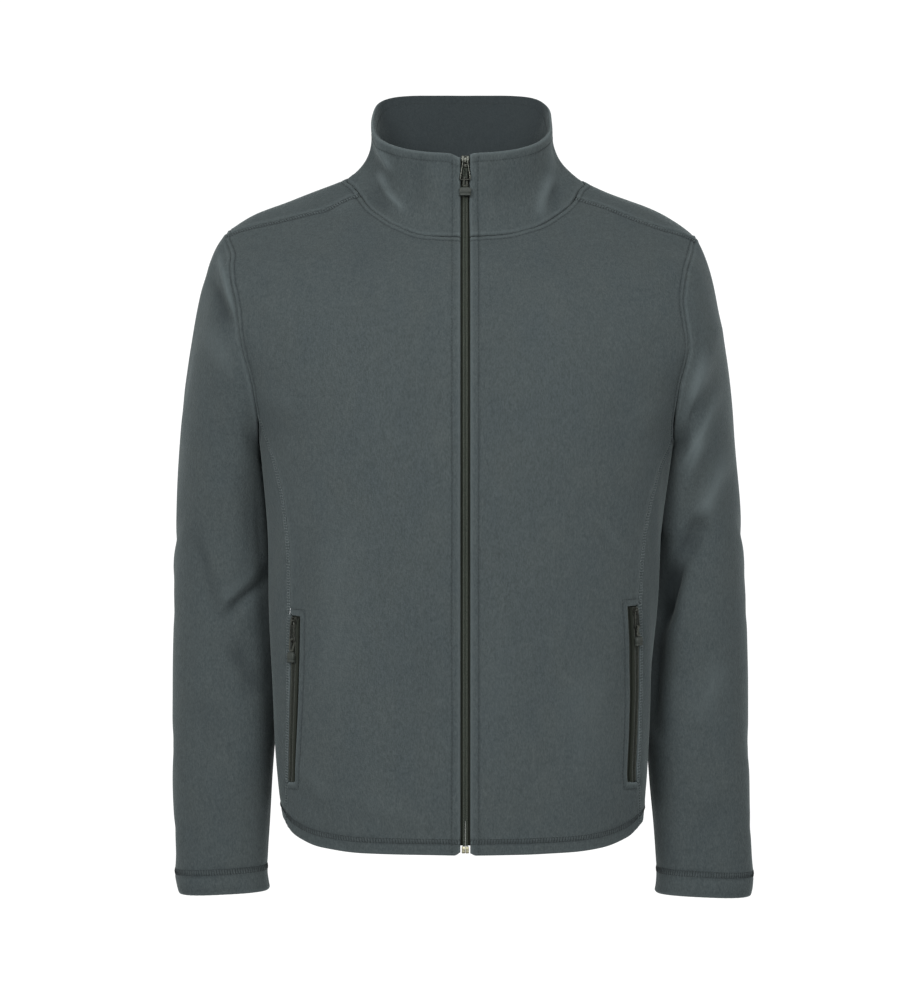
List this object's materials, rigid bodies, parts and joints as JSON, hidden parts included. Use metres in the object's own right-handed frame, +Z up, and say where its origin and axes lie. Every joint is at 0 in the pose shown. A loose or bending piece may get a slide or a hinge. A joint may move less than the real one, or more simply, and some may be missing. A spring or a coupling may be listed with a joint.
{
  "type": "fleece zip jacket",
  "caption": "Fleece zip jacket filled out as worn: stand collar, full front zip, forward side and shoulder seams, zipped side pockets, hollow body and sleeves.",
  "frame": {"origin": "between the two shoulder lines at the neck, on the middle of the garment, where it rests on the wearer's shoulders", "axes": "+Z up, the front faces -Y, the wearer's right is -X"},
  "size_m": [0.6042, 0.2759, 0.8393],
  "materials": {
    "slate_fleece": "matt brushed fleece, slate grey",
    "olive_tape": "woven tape, dark olive",
    "olive_coil": "polyester coil, dark olive",
    "dark_metal": "plated, satin",
    "pale_metal": "plated, pale gold, satin",
    "dark_cord": "braided cord",
    "grey_rubber": "moulded, matt"
  },
  "bodies": {
    "jacket": {"back": "slate_fleece", "collar": "slate_fleece", "front_left": "slate_fleece", "front_right": "slate_fleece", "front_slider": "dark_metal", "front_zip_box": "pale_metal", "front_zip_coil": "olive_coil", "front_zip_pin": "pale_metal", "front_zip_tape_left": "olive_tape", "front_zip_tape_right": "olive_tape", "pocket_slider_left": "dark_metal", "pocket_slider_right": "dark_metal", "pocket_zip_coil_left": "olive_coil", "pocket_zip_coil_right": "olive_coil", "pocket_zip_tape_left": "olive_tape", "pocket_zip_tape_right": "olive_tape", "sleeve_left": "slate_fleece", "sleeve_right": "slate_fleece"},
    "front_pull": {"front_pull_cord": "dark_cord", "front_pull_grip": "grey_rubber", "front_pull_link": "dark_metal"},
    "right_pocket_pull": {"pocket_pull_right_cord": "dark_cord", "pocket_pull_right_grip": "grey_rubber", "pocket_pull_right_link": "dark_metal"},
    "left_pocket_pull": {"pocket_pull_left_cord": "dark_cord", "pocket_pull_left_grip": "grey_rubber", "pocket_pull_left_link": "dark_metal"}
  },
  "joints": [
    {"name": "front_pull_turn", "type": "hinge", "parent": "jacket", "child": "front_pull", "pos_m": [0.0038, -0.07525, 0.015], "axis": [-1, 0, 0], "range_deg": [0, 150]},
    {"name": "left_pocket_pull_turn", "type": "hinge", "parent": "jacket", "child": "left_pocket_pull", "pos_m": [0.1758, -0.08877, -0.44005], "axis": [-0.6729, -0.7298, -0.1204], "range_deg": [0, 150]},
    {"name": "right_pocket_pull_turn", "type": "hinge", "parent": "jacket", "child": "right_pocket_pull", "pos_m": [-0.16957, -0.09277, -0.45002], "axis": [-0.7152, 0.6977, 0.0408], "range_deg": [0, 150]}
  ]
}
